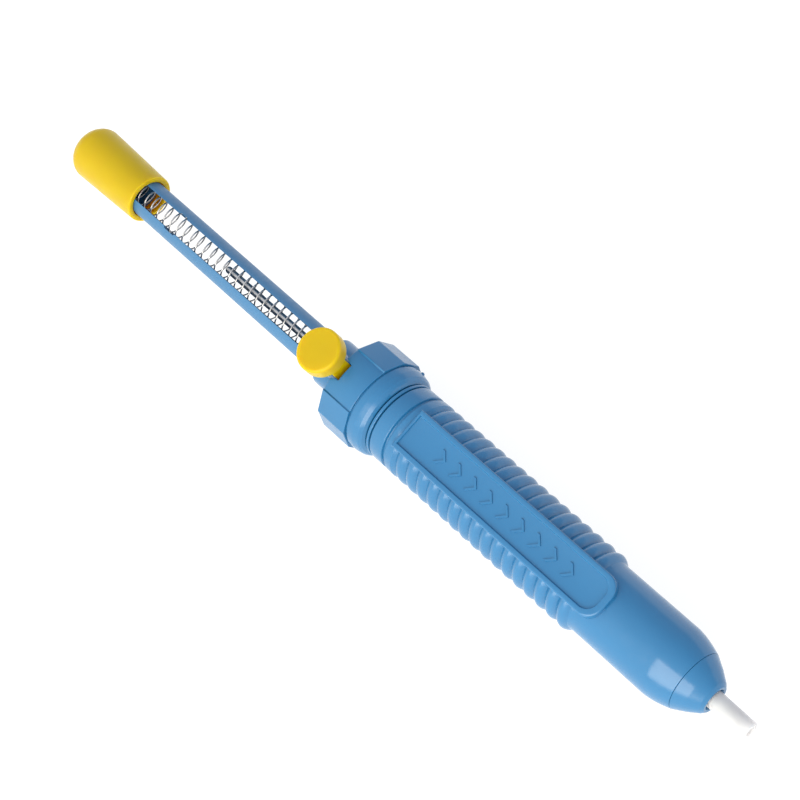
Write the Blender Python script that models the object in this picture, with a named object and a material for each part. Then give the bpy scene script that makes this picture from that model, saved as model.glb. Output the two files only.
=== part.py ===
"""Desoldering pump, lying at rest with its trigger button up.

The tool axis runs along X, with +X toward the nozzle tip and +Z toward the button.
Lengths are in millimetres. Stations along the tool are measured from the mouth of the
rear cap, and place() moves them to the part's own frame in metres.
"""

import math

import bmesh
import bpy

MM = 0.001
CAP_RADIUS = 16.24        # to the corners of the rear cap's flats
AXIS_HEIGHT = CAP_RADIUS * math.cos(math.radians(15))    # the cap rests on its lower pad
STATION_SHIFT = 5.3       # puts the middle of the whole length at X = 0
GAP = 0.3                 # clearance between pieces that touch or slide
FACETS = 32               # sides of a large round piece
FINE_FACETS = 20          # sides of a small round piece

# Barrel
BARREL_BORE = 10.5
SPIGOT_START = -5.7
SPIGOT_RADIUS = 11.9
COLLAR_START = 5.8
COLLAR_END = 11.2
COLLAR_RADIUS = 13.2
GROOVE_END = 12.6
GROOVE_RADIUS = 12.4
RIB_COUNT = 17
RIB_PITCH = 4.53
RIB_START = 12.34        # the first valley; the ribs stand from the second one on
RIB_CREST = 13.35
RIB_VALLEY = 12.5
FRONT_RADIUS = 11.8
TAPER_START = 117.5
NOSE_SEAM = 126.2
SEAM_RADIUS = 9.85
NOSE_SOCKET_START = 117.7
NOSE_SOCKET_RADIUS = 8.5

# Raised frame on top of the barrel, round a flat recess
PANEL_REAR = 14.9
PANEL_FRONT = 97.8
PANEL_HALF_WIDTH = 7.0
PANEL_CORNER = 5.0
PANEL_TOP = 13.35
RECESS_REAR = 15.9
RECESS_FRONT = 95.7
RECESS_HALF_WIDTH = 5.33
RECESS_CORNER = 4.0
RECESS_FLOOR = 12.5

# Rear cap
CAP_REAR = -14.8
CAP_WALL = 1.2
CAP_LIP = -2.6
CAP_MOUTH = 3.9
LIP_RADIUS = 15.2
CAP_CAVITY = 12.2
CAP_CORNERS = (30, 60, 90, 120, 150, 165, 195, 210, 240, 270, 300, 330)
CAP_ARC_RADIUS = 15.7     # of the sunk arc on top, between the first corner and the last
NECK_REAR = -27.0
NECK_RADIUS = 8.3
NECK_BORE = 6.7
BOSS_RADIUS = 4.6
BOSS_TOP = 13.0
POCKET_RADIUS = 3.4
POCKET_FLOOR = 8.3
NOTCH_FRONT = -11.65
NOTCH_REAR_HALF = 3.8
NOTCH_FRONT_HALF = 3.05
NOTCH_FLOOR = 8.8

# Plunger
SHAFT_RADIUS = 6.4
SHAFT_REAR = -149.7
SHAFT_FRONT = -2.7
SLOT_REAR = -126.0
SLOT_FRONT = -5.4
SLOT_HALF = 3.1
SPRING_BORE = 4.75
LATCH_NOTCH_REAR = -106.3
LATCH_NOTCH_FRONT = -100.7
LATCH_NOTCH_HALF = 3.7
SHAFT_SPIGOT = 4.0
KNOB_APEX = -157.6
KNOB_SHOULDER = -151.1
KNOB_MOUTH = -122.0
KNOB_SHOULDER_RADIUS = 9.45
KNOB_MOUTH_RADIUS = 8.55
KNOB_BORE = 6.7
PISTON_REAR = -2.4
PISTON_FRONT = 11.6
PISTON_RADIUS = 10.1
RING_SECTION = 0.9
RING_CENTRE = 9.45
ROD_RADIUS = 1.2
ROD_REAR = -80.1
ROD_FRONT = 56.0
ROD_HOLE = 1.5
NUT_RADIUS = 3.8
NUT_LENGTH = 2.9
BUMPER_RADIUS = 9.6
GASKET_RADIUS = 13.0
WASHER_THICKNESS = 0.4

# Spring seat held in the rear cap, with a bar that crosses the shaft's slot
SEAT_REAR = -12.0
SEAT_FRONT = -6.0
SEAT_RADIUS = 11.9
SEAT_BAR_HALF = 2.75

# Springs
MAIN_SPRING_MEAN = 4.2
MAIN_SPRING_WIRE = 0.27
MAIN_SPRING_PITCH = 3.46
MAIN_SPRING_REAR = -147.64
MAIN_SPRING_FRONT = -13.3
TRIGGER_SPRING_MEAN = 2.65
TRIGGER_SPRING_WIRE = 0.25
TRIGGER_SPRING_TURNS = 5

# Trigger
BUTTON_CENTRE = -19.8
BUTTON_RADIUS = 7.3
BUTTON_BOTTOM = 17.8
BUTTON_TOP = 22.8
BUTTON_EDGE = 0.9
TRIGGER_TRAVEL = 1.8
POST_RADIUS = 1.8
POST_BOTTOM = 12.0
STEM_REAR = -14.5
STEM_FRONT = -13.6
STEM_HALF = 2.9
STEM_BOTTOM = 11.3
LATCH_REAR = -13.3
LATCH_FRONT = -12.3
LATCH_HALF = 8.5
LATCH_FOOT = -8.6
LATCH_SHOULDER = 7.2
LATCH_TOP = 10.9
LATCH_TAB_HALF = 2.7      # the tab stands against the stem in the cap's notch
LATCH_TAB_TOP = 12.8
LATCH_BAR_HALF = 3.4      # the bar that would rise into the shaft's notches

# Nose
NOSE_SPIGOT_REAR = 118.0
NOSE_SPIGOT_RADIUS = 8.2
NOSE_GROOVE_START = 119.9
NOSE_GROOVE_END = 121.9
NOSE_GROOVE_FLOOR = 6.6
NOSE_RING_SECTION = 0.7
NOSE_START = 126.5
NOSE_BORE = 3.2
NOSE_CAVITY = 4.5
NOSE_CAVITY_END = 128.3
NOSE_END = 134.0
CONE_POINTS = ((2.5, 8.35), (4.6, 7.0), (6.5, 5.6))    # (from the cone's start, radius)
MOUTH_START = 133.0       # the bore widens from here to the nose's end
MOUTH_RADIUS = 3.7
TIP_REAR = 124.0
TIP_FRONT = 147.0
TIP_ROOT_RADIUS = 2.92
TIP_END_RADIUS = 2.74
TIP_FLANGE = 4.2
TIP_BORE = 1.5
TIP_RING_CENTRE = 3.75
TIP_RING_SECTION = 0.55
RETAINER_LENGTH = 2.7

BLUE = (0.036, 0.19, 0.405)
YELLOW = (0.67, 0.49, 0.006)
WHITE = (0.82, 0.80, 0.80)
STEEL = (0.55, 0.55, 0.56)
RUBBER = (0.02, 0.02, 0.02)
NATURAL = (0.72, 0.70, 0.64)


def clear_scene():
    for obj in list(bpy.data.objects):
        bpy.data.objects.remove(obj, do_unlink=True)


def make_material(name, colour, roughness, metallic=0.0):
    material = bpy.data.materials.new(name)
    material.use_nodes = True
    shader = material.node_tree.nodes["Principled BSDF"]
    shader.inputs["Base Color"].default_value = (*colour, 1.0)
    shader.inputs["Roughness"].default_value = roughness
    shader.inputs["Metallic"].default_value = metallic
    return material


def place(station, across, up):
    """Metres in the part's frame, from millimetres along, across and above the axis."""
    return ((station + STATION_SHIFT) * MM, across * MM, (up + AXIS_HEIGHT) * MM)


def arc(station, radius, size, start, end, steps):
    """Points (station, radius) on a circle of this size, from start to end degrees."""
    points = []
    for step in range(steps + 1):
        angle = math.radians(start + (end - start) * step / steps)
        points.append((station + size * math.cos(angle), radius + size * math.sin(angle)))
    return points


def new_object(name, mesh, material, cutter=False):
    """Links the mesh as an object with its origin on the tool axis at the cap's mouth."""
    obj = bpy.data.objects.new(name, mesh)
    bpy.context.scene.collection.objects.link(obj)
    origin = place(0.0, 0.0, 0.0)
    for vertex in mesh.vertices:
        vertex.co = [value - start for value, start in zip(vertex.co, origin)]
    obj.location = origin
    if cutter:
        obj.hide_render = True
        obj.display_type = "WIRE"
        return obj
    mesh.materials.append(MATERIALS[material])
    mesh.shade_smooth()
    mesh.set_sharp_from_angle(angle=math.radians(32))
    return obj


def finish_mesh(name, shape):
    bmesh.ops.recalc_face_normals(shape, faces=shape.faces)
    mesh = bpy.data.meshes.new(name)
    shape.to_mesh(mesh)
    shape.free()
    return mesh


def skin_rings(name, rings, closed):
    """A mesh skinned over rings of points. A ring of one point is a pole."""
    shape = bmesh.new()
    levels = [[shape.verts.new(point) for point in ring] for ring in rings]
    pairs = list(zip(levels, levels[1:]))
    if closed:
        pairs.append((levels[-1], levels[0]))
    for low, high in pairs:
        count = max(len(low), len(high))
        for side in range(count):
            after = (side + 1) % count
            if len(low) == 1:
                shape.faces.new((low[0], high[side], high[after]))
            elif len(high) == 1:
                shape.faces.new((low[side], high[0], low[after]))
            else:
                shape.faces.new((low[side], high[side], high[after], low[after]))
    if not closed:
        for end in (levels[0], levels[-1]):
            if len(end) > 1:
                shape.faces.new(end)
    return finish_mesh(name, shape)


def round_section(radius, _angle):
    return radius


def cap_section(radius, angle):
    """Distance to the cap's outline: flats with a sunk arc on top, between two corners."""
    degrees = math.degrees(angle) % 360
    for low, high in zip(CAP_CORNERS, CAP_CORNERS[1:]):
        if low - 0.1 <= degrees <= high + 0.1:
            half = math.radians(high - low) / 2
            middle = math.radians(high + low) / 2
            return radius * math.cos(half) / math.cos(math.radians(degrees) - middle)
    return radius - CAP_RADIUS + CAP_ARC_RADIUS


def turned(name, outline, material, closed=False, facets=FACETS, cutter=False):
    """A solid turned about the tool axis, from points (station, radius, section)."""
    rings = []
    for station, radius, *section in outline:
        if radius < 1e-6:
            rings.append([place(station, 0.0, 0.0)])
            continue
        shape = section[0] if section else round_section
        ring = []
        for side in range(facets):
            angle = 2 * math.pi * side / facets
            reach = shape(radius, angle)
            ring.append(place(station, reach * math.sin(angle), reach * math.cos(angle)))
        rings.append(ring)
    mesh = skin_rings(name, rings, closed)
    return new_object(name, mesh, material, cutter)


def upright(name, centre, outline, material, facets=FINE_FACETS, cutter=False):
    """A solid turned about a vertical line at this station, from points (radius, up)."""
    rings = []
    for radius, up in outline:
        if radius < 1e-6:
            rings.append([place(centre, 0.0, up)])
            continue
        ring = []
        for side in range(facets):
            angle = 2 * math.pi * side / facets
            ring.append(place(centre + radius * math.cos(angle), radius * math.sin(angle), up))
        rings.append(ring)
    mesh = skin_rings(name, rings, False)
    return new_object(name, mesh, material, cutter)


def prism(name, outline, low, high, along, material=None, cutter=False):
    """An outline drawn flat and drawn out along one direction, from low to high.

    along is "up" for an outline of (station, across) points, and "station" for an
    outline of (across, up) points.
    """
    rings = []
    for level in (low, high):
        if along == "up":
            rings.append([place(station, across, level) for station, across in outline])
        else:
            rings.append([place(level, across, up) for across, up in outline])
    mesh = skin_rings(name, rings, False)
    return new_object(name, mesh, material, cutter)


def combine(target, other, operation):
    modifier = target.modifiers.new(other.name, "BOOLEAN")
    modifier.operation = operation
    modifier.solver = "EXACT"
    modifier.object = other


def cut(target, other):
    combine(target, other, "DIFFERENCE")


def add(target, other):
    combine(target, other, "UNION")


def plate_outline(rear, front, half_width, corner, steps=5):
    """A plate with square rear corners and round front corners, as (station, across)."""
    outline = [(rear, -half_width)]
    outline += arc(front - corner, -half_width + corner, corner, -90, 0, steps)
    outline += arc(front - corner, half_width - corner, corner, 0, 90, steps)
    outline.append((rear, half_width))
    return outline


def helix(name, start, turns, pitch, mean, wire, upright_at=None, steps=8, sides=4):
    """A coil of round wire, along the tool axis or up a vertical line at a station."""
    rings = []
    count = int(round(turns * steps))
    for step in range(count + 1):
        angle = 2 * math.pi * step / steps
        ring = []
        for side in range(sides):
            turn = 2 * math.pi * side / sides
            radius = mean + wire * math.cos(turn)
            along = start + pitch * step / steps + wire * math.sin(turn)
            swing = (-radius * math.sin(angle), radius * math.cos(angle))
            if upright_at is None:
                ring.append(place(along, *swing))
            else:
                ring.append(place(upright_at + swing[0], swing[1], along))
        rings.append(ring)
    mesh = skin_rings(name, rings, False)
    return new_object(name, mesh, "steel")


def make_barrel():
    outline = [(SPIGOT_START, 0.0), (SPIGOT_START, SPIGOT_RADIUS),
               (COLLAR_START, SPIGOT_RADIUS), (COLLAR_START, COLLAR_RADIUS - 0.3),
               (COLLAR_START + 0.3, COLLAR_RADIUS), (COLLAR_END, COLLAR_RADIUS),
               (COLLAR_END + 0.3, GROOVE_RADIUS), (GROOVE_END - 0.3, GROOVE_RADIUS),
               (GROOVE_END, COLLAR_RADIUS)]
    for rib in range(RIB_COUNT):
        start = RIB_START + RIB_PITCH * rib
        if rib:
            outline += [(start, RIB_VALLEY), (start + 0.3 * RIB_PITCH, RIB_CREST)]
        outline.append((start + 0.7 * RIB_PITCH, RIB_CREST))
    rib_end = RIB_START + RIB_PITCH * RIB_COUNT
    outline += [(rib_end, RIB_VALLEY), (rib_end + 0.3, FRONT_RADIUS),
                (TAPER_START, FRONT_RADIUS), (TAPER_START + 3.0, FRONT_RADIUS - 0.4),
                (TAPER_START + 6.0, FRONT_RADIUS - 1.2), (NOSE_SEAM, SEAM_RADIUS),
                (NOSE_SEAM, 0.0)]
    barrel = turned("barrel", outline, "barrel")
    frame = plate_outline(PANEL_REAR, PANEL_FRONT, PANEL_HALF_WIDTH, PANEL_CORNER)
    add(barrel, prism("panel_frame_block", frame, 6.0, PANEL_TOP, "up", cutter=True))
    recess = plate_outline(RECESS_REAR, RECESS_FRONT, RECESS_HALF_WIDTH, RECESS_CORNER)
    cut(barrel, prism("panel_recess_cutter", recess, RECESS_FLOOR, PANEL_TOP + 2, "up",
                      cutter=True))
    bore = [(SPIGOT_START - 1, 0.0), (SPIGOT_START - 1, BARREL_BORE),
            (NOSE_SOCKET_START - 2, BARREL_BORE), (NOSE_SOCKET_START, NOSE_SOCKET_RADIUS),
            (NOSE_SEAM + 1, NOSE_SOCKET_RADIUS), (NOSE_SEAM + 1, 0.0)]
    cut(barrel, turned("barrel_bore_cutter", bore, None, cutter=True))


def make_rear_cap():
    inside = CAP_REAR + CAP_WALL
    outline = [(NECK_REAR, 0.0), (NECK_REAR, NECK_RADIUS - 0.8),
               (NECK_REAR + 0.8, NECK_RADIUS), (CAP_REAR, NECK_RADIUS),
               (CAP_REAR, CAP_RADIUS - 0.4, cap_section),
               (CAP_REAR + 0.4, CAP_RADIUS, cap_section),
               (CAP_LIP, CAP_RADIUS, cap_section), (CAP_LIP, LIP_RADIUS),
               (CAP_LIP + 2.9, LIP_RADIUS), (CAP_LIP + 4.8, LIP_RADIUS - 0.5),
               (CAP_LIP + 5.8, LIP_RADIUS - 1.3),
               (CAP_MOUTH, COLLAR_RADIUS - 0.1), (CAP_MOUTH, 0.0)]
    cap = turned("rear_cap", outline, "cap", facets=72)
    boss = [(0.0, 0.0), (BOSS_RADIUS, 0.0), (BOSS_RADIUS, BOSS_TOP), (0.0, BOSS_TOP)]
    add(cap, upright("trigger_boss_block", BUTTON_CENTRE, boss, None, cutter=True))
    cavity = [(NECK_REAR - 1, 0.0), (NECK_REAR - 1, NECK_BORE), (inside, NECK_BORE),
              (inside, CAP_CAVITY), (CAP_MOUTH + 1, CAP_CAVITY), (CAP_MOUTH + 1, 0.0)]
    cut(cap, turned("cap_cavity_cutter", cavity, None, cutter=True))
    notch = [(CAP_REAR - 0.25, -NOTCH_REAR_HALF), (NOTCH_FRONT, -NOTCH_FRONT_HALF),
             (NOTCH_FRONT, NOTCH_FRONT_HALF), (CAP_REAR - 0.25, NOTCH_REAR_HALF)]
    cut(cap, prism("stem_notch_cutter", notch, NOTCH_FLOOR, CAP_RADIUS + 1, "up", cutter=True))
    pocket = [(0.0, POCKET_FLOOR), (POCKET_RADIUS, POCKET_FLOOR),
              (POCKET_RADIUS, BOSS_TOP + 1), (0.0, BOSS_TOP + 1)]
    cut(cap, upright("spring_pocket_cutter", BUTTON_CENTRE, pocket, None, cutter=True))


def make_ring(name, material, rear, front, inner, outer, edge=0.25, facets=FACETS):
    outline = [(rear, inner), (rear, outer - edge), (rear + edge, outer),
               (front - edge, outer), (front, outer - edge), (front, inner)]
    return turned(name, outline, material, closed=True, facets=facets)


def make_o_ring(name, station, centre, section):
    outline = arc(station, centre, section, 0, 300, 5)
    return turned(name, outline, "rubber", closed=True, facets=24)


def make_spring_seat():
    seat = make_ring("spring_seat", "seat", SEAT_REAR, SEAT_FRONT, NECK_BORE, SEAT_RADIUS)
    bar = [(SEAT_REAR + 0.2, -SEAT_BAR_HALF), (SEAT_FRONT - 0.2, -SEAT_BAR_HALF),
           (SEAT_FRONT - 0.2, SEAT_BAR_HALF), (SEAT_REAR + 0.2, SEAT_BAR_HALF)]
    reach = NECK_BORE + 1.5
    add(seat, prism("seat_bar_block", bar, -reach, reach, "up", cutter=True))
    hole = [(SEAT_REAR - 1, 0.0), (SEAT_REAR - 1, ROD_HOLE), (SEAT_FRONT + 1, ROD_HOLE),
            (SEAT_FRONT + 1, 0.0)]
    cut(seat, turned("seat_hole_cutter", hole, None, facets=FINE_FACETS, cutter=True))


def make_plunger_shaft():
    spigot_end = PISTON_FRONT - 2.7
    outline = [(SHAFT_REAR, 0.0), (SHAFT_REAR, SHAFT_RADIUS), (SHAFT_FRONT, SHAFT_RADIUS),
               (SHAFT_FRONT, SHAFT_SPIGOT), (spigot_end, SHAFT_SPIGOT), (spigot_end, 0.0)]
    shaft = turned("plunger_shaft", outline, "shaft")
    bore = [(SHAFT_REAR - 1, 0.0), (SHAFT_REAR - 1, SPRING_BORE), (SLOT_FRONT, SPRING_BORE),
            (SLOT_FRONT, ROD_HOLE), (spigot_end + 1, ROD_HOLE), (spigot_end + 1, 0.0)]
    cut(shaft, turned("shaft_bore_cutter", bore, None, facets=FINE_FACETS, cutter=True))
    half = [(SLOT_REAR, SLOT_HALF), (LATCH_NOTCH_REAR, SLOT_HALF),
            (LATCH_NOTCH_REAR, LATCH_NOTCH_HALF), (LATCH_NOTCH_FRONT, LATCH_NOTCH_HALF),
            (LATCH_NOTCH_FRONT, SLOT_HALF), (SLOT_FRONT - 0.1, SLOT_HALF)]
    slot = half + [(station, -across) for station, across in reversed(half)]
    reach = SHAFT_RADIUS + 1
    cut(shaft, prism("shaft_slot_cutter", slot, -reach, reach, "up", cutter=True))


def make_plunger_knob():
    depth = KNOB_SHOULDER - KNOB_APEX
    outline = [(KNOB_APEX, 0.0)]
    for step in range(1, 7):
        angle = math.radians(90 * step / 6)
        outline.append((KNOB_SHOULDER - depth * math.cos(angle),
                        KNOB_SHOULDER_RADIUS * math.sin(angle)))
    outline += [(KNOB_MOUTH - 0.6, KNOB_MOUTH_RADIUS), (KNOB_MOUTH, KNOB_MOUTH_RADIUS - 0.6),
                (KNOB_MOUTH, KNOB_BORE), (SHAFT_REAR - GAP, KNOB_BORE),
                (SHAFT_REAR - GAP, 0.0)]
    turned("plunger_knob", outline, "knob")


def make_shaft_plug():
    """Closes the shaft's rear end inside the knob and takes the main spring's push."""
    front = MAIN_SPRING_REAR - 2 * MAIN_SPRING_WIRE - 0.1
    outline = [(SHAFT_REAR + 0.2, 0.0), (SHAFT_REAR + 0.2, SPRING_BORE - GAP),
               (front, SPRING_BORE - GAP), (front, 0.0)]
    turned("shaft_end_plug", outline, "natural", facets=FINE_FACETS)


def make_piston():
    groove = RING_SECTION + GAP
    floor = RING_CENTRE - RING_SECTION - GAP
    spigot_bore = SHAFT_SPIGOT + GAP
    outline = [(PISTON_REAR, spigot_bore), (PISTON_REAR, PISTON_RADIUS)]
    for centre in (PISTON_REAR + 3.0, PISTON_FRONT - 3.0):
        outline += [(centre - groove, PISTON_RADIUS), (centre - groove, floor),
                    (centre + groove, floor), (centre + groove, PISTON_RADIUS)]
    outline += [(PISTON_FRONT - 0.5, PISTON_RADIUS), (PISTON_FRONT, PISTON_RADIUS - 0.5),
                (PISTON_FRONT, ROD_HOLE), (PISTON_FRONT - 2.4, ROD_HOLE),
                (PISTON_FRONT - 2.4, spigot_bore)]
    turned("piston", outline, "natural", closed=True)
    make_o_ring("piston_o_ring_rear", PISTON_REAR + 3.0, RING_CENTRE, RING_SECTION)
    make_o_ring("piston_o_ring_front", PISTON_FRONT - 3.0, RING_CENTRE, RING_SECTION)


def make_rod():
    outline = [(ROD_REAR, 0.0), (ROD_REAR + 0.3 * ROD_RADIUS, 0.7 * ROD_RADIUS),
               (ROD_REAR + ROD_RADIUS, ROD_RADIUS), (ROD_FRONT - 0.5, ROD_RADIUS),
               (ROD_FRONT, ROD_RADIUS - 0.5),
               (ROD_FRONT, 0.0)]
    turned("cleaning_rod", outline, "steel", facets=12)


def make_trigger():
    edge = BUTTON_EDGE
    inside_button = BUTTON_BOTTOM + 2.0
    outline = [(0.0, POST_BOTTOM), (POST_RADIUS, POST_BOTTOM), (POST_RADIUS, BUTTON_BOTTOM),
               (BUTTON_RADIUS - edge, BUTTON_BOTTOM),
               (BUTTON_RADIUS - 0.3 * edge, BUTTON_BOTTOM + 0.3 * edge),
               (BUTTON_RADIUS, BUTTON_BOTTOM + edge), (BUTTON_RADIUS, BUTTON_TOP - edge),
               (BUTTON_RADIUS - 0.3 * edge, BUTTON_TOP - 0.3 * edge),
               (BUTTON_RADIUS - edge, BUTTON_TOP), (0.0, BUTTON_TOP)]
    button = upright("trigger_button", BUTTON_CENTRE, outline, "button", facets=28)
    stem = [(STEM_REAR, -STEM_HALF), (STEM_FRONT, -STEM_HALF), (STEM_FRONT, STEM_HALF),
            (STEM_REAR, STEM_HALF)]
    add(button, prism("trigger_stem_block", stem, STEM_BOTTOM, inside_button, "up",
                      cutter=True))
    bottom = POCKET_FLOOR + GAP + TRIGGER_SPRING_WIRE
    top = BUTTON_BOTTOM - GAP - TRIGGER_SPRING_WIRE
    helix("trigger_spring", bottom, TRIGGER_SPRING_TURNS,
          (top - bottom) / TRIGGER_SPRING_TURNS, TRIGGER_SPRING_MEAN, TRIGGER_SPRING_WIRE,
          upright_at=BUTTON_CENTRE)


def make_latch_plate():
    """A steel plate with a window for the shaft, whose bar would rise into the notches."""
    side = SHAFT_RADIUS + GAP
    top = SHAFT_RADIUS + TRIGGER_TRAVEL + GAP
    half = [(0.0, LATCH_FOOT), (LATCH_BAR_HALF, LATCH_FOOT),
            (LATCH_HALF - 2.9, LATCH_FOOT + 0.7), (LATCH_HALF, LATCH_FOOT + 3.0),
            (LATCH_HALF, LATCH_SHOULDER), (LATCH_HALF - 3.9, LATCH_TOP),
            (LATCH_TAB_HALF, LATCH_TOP), (LATCH_TAB_HALF, LATCH_TAB_TOP),
            (0.0, LATCH_TAB_TOP)]
    outline = half + [(-across, up) for across, up in reversed(half[1:-1])]
    plate = prism("latch_plate", outline, LATCH_REAR, LATCH_FRONT, "station", "steel")
    bar_top = -SHAFT_RADIUS - GAP
    half_window = [(LATCH_BAR_HALF, bar_top), (side, bar_top + 2.6), (side, SHAFT_RADIUS),
                   (LATCH_BAR_HALF + 0.2, top)]
    window = half_window + [(-across, up) for across, up in reversed(half_window)]
    cut(plate, prism("latch_window_cutter", window, LATCH_REAR - 1, LATCH_FRONT + 1,
                     "station", cutter=True))


def make_nose():
    outline = [(NOSE_SPIGOT_REAR, NOSE_CAVITY), (NOSE_SPIGOT_REAR, NOSE_SPIGOT_RADIUS),
               (NOSE_GROOVE_START, NOSE_SPIGOT_RADIUS), (NOSE_GROOVE_START, NOSE_GROOVE_FLOOR),
               (NOSE_GROOVE_END, NOSE_GROOVE_FLOOR), (NOSE_GROOVE_END, NOSE_SPIGOT_RADIUS),
               (NOSE_START, NOSE_SPIGOT_RADIUS), (NOSE_START, SEAM_RADIUS - 0.1)]
    outline += [(NOSE_START + along, radius) for along, radius in CONE_POINTS]
    outline += [(NOSE_END, MOUTH_RADIUS + 0.8),
               (NOSE_END, MOUTH_RADIUS), (MOUTH_START, NOSE_BORE),
               (NOSE_CAVITY_END, NOSE_BORE), (NOSE_CAVITY_END, NOSE_CAVITY)]
    turned("nose_cone", outline, "nose", closed=True)
    make_o_ring("nose_o_ring", (NOSE_GROOVE_START + NOSE_GROOVE_END) / 2,
                NOSE_SPIGOT_RADIUS - 0.6, NOSE_RING_SECTION)


def make_tip():
    shoulder = TIP_REAR + 2.4
    outline = [(TIP_REAR, TIP_BORE), (TIP_REAR, TIP_FLANGE), (shoulder, TIP_FLANGE),
               (shoulder, TIP_ROOT_RADIUS), (TIP_FRONT - 0.5, TIP_END_RADIUS),
               (TIP_FRONT, TIP_END_RADIUS - 0.4), (TIP_FRONT, TIP_BORE)]
    turned("nozzle_tip", outline, "tip", closed=True, facets=24)
    make_o_ring("tip_o_ring", shoulder + 1.0, TIP_RING_CENTRE, TIP_RING_SECTION)
    make_ring("tip_retainer", "natural", TIP_REAR - GAP - RETAINER_LENGTH, TIP_REAR - GAP,
              TIP_BORE + 0.6, NOSE_CAVITY - GAP, facets=FINE_FACETS)


MATERIALS = {
    "barrel": make_material("barrel_blue", BLUE, 0.38),
    "cap": make_material("cap_blue", BLUE, 0.38),
    "shaft": make_material("shaft_blue", BLUE, 0.42),
    "nose": make_material("nose_blue", BLUE, 0.36),
    "knob": make_material("knob_yellow", YELLOW, 0.4),
    "button": make_material("button_yellow", YELLOW, 0.38),
    "tip": make_material("tip_white", WHITE, 0.45),
    "steel": make_material("spring_steel", STEEL, 0.3, 1.0),
    "rubber": make_material("black_rubber", RUBBER, 0.8),
    "natural": make_material("natural_nylon", NATURAL, 0.5),
    "seat": make_material("seat_nylon", NATURAL, 0.5),
    "gasket": make_material("gasket_blue", BLUE, 0.5),
}

clear_scene()
make_barrel()
make_rear_cap()
make_ring("cap_gasket", "gasket", CAP_MOUTH + GAP, COLLAR_START - GAP, CAP_CAVITY,
          GASKET_RADIUS)
make_spring_seat()
make_plunger_shaft()
make_shaft_plug()
make_plunger_knob()
make_piston()
make_ring("piston_bumper", "rubber", SEAT_FRONT + GAP, SHAFT_FRONT, NECK_BORE, BUMPER_RADIUS)
make_rod()
make_ring("rod_nut", "steel", PISTON_FRONT + GAP, PISTON_FRONT + GAP + NUT_LENGTH, ROD_HOLE,
          NUT_RADIUS, facets=6)
make_ring("spring_washer", "steel", SEAT_REAR - GAP - WASHER_THICKNESS, SEAT_REAR - GAP,
          ROD_HOLE, SPRING_BORE - GAP, edge=0.05, facets=FINE_FACETS)
helix("main_spring", MAIN_SPRING_REAR,
      (MAIN_SPRING_FRONT - MAIN_SPRING_REAR) / MAIN_SPRING_PITCH, MAIN_SPRING_PITCH,
      MAIN_SPRING_MEAN, MAIN_SPRING_WIRE)
make_trigger()
make_latch_plate()
make_nose()
make_tip()
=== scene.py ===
"""Looks of the desoldering pump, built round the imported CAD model.

Stations along the tool are in millimetres from the mouth of the rear cap, and heights are
from the tool's axis. place() puts them in the frame, from the boxes of the CAD nodes.
"""

import math

import bmesh
import bpy
from mathutils import Matrix, Vector


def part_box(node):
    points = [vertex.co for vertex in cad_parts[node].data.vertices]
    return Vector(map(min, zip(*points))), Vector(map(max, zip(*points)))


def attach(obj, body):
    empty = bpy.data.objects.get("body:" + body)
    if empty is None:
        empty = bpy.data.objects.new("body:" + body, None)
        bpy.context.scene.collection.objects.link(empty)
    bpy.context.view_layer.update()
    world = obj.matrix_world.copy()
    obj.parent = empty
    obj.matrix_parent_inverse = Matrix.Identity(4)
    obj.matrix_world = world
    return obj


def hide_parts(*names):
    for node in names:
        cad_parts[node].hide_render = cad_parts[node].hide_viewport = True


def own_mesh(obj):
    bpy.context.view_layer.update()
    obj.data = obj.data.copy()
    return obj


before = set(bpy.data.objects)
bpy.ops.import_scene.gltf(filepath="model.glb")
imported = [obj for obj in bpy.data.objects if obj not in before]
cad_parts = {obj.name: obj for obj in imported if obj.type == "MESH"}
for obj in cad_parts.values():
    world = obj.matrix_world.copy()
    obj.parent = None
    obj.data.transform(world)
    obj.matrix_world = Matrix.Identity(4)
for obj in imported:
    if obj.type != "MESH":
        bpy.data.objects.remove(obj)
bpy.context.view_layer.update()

MM = 0.001
ROUND = 128               # sides of a large turned piece
SMALL_ROUND = 64          # sides of a small turned piece

# Barrel
BARREL_BORE = 10.5
SPIGOT_START = -5.7
SPIGOT_RADIUS = 11.9
COLLAR_START = 5.8
COLLAR_END = 11.2
COLLAR_RADIUS = 13.2
GROOVE_END = 12.6
GROOVE_RADIUS = 12.3
RIB_COUNT = 17
RIB_PITCH = 4.53
RIB_START = 12.34
RIB_CREST = 13.35
RIB_DEPTH_REAR = 0.95
RIB_DEPTH_FRONT = 1.3
RIB_STEPS = 14            # points along each rib
RIB_SHAPE = 1.9           # a higher power gives flatter crests
FRONT_RADIUS = 11.8
TAPER_START = 117.5
NOSE_SEAM = 126.2
SEAM_RADIUS = 9.85
TAPER_SHAPE = 1.6         # a higher power bends the front more toward the seam
NOSE_SOCKET_START = 117.7
NOSE_SOCKET_RADIUS = 8.5

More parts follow.
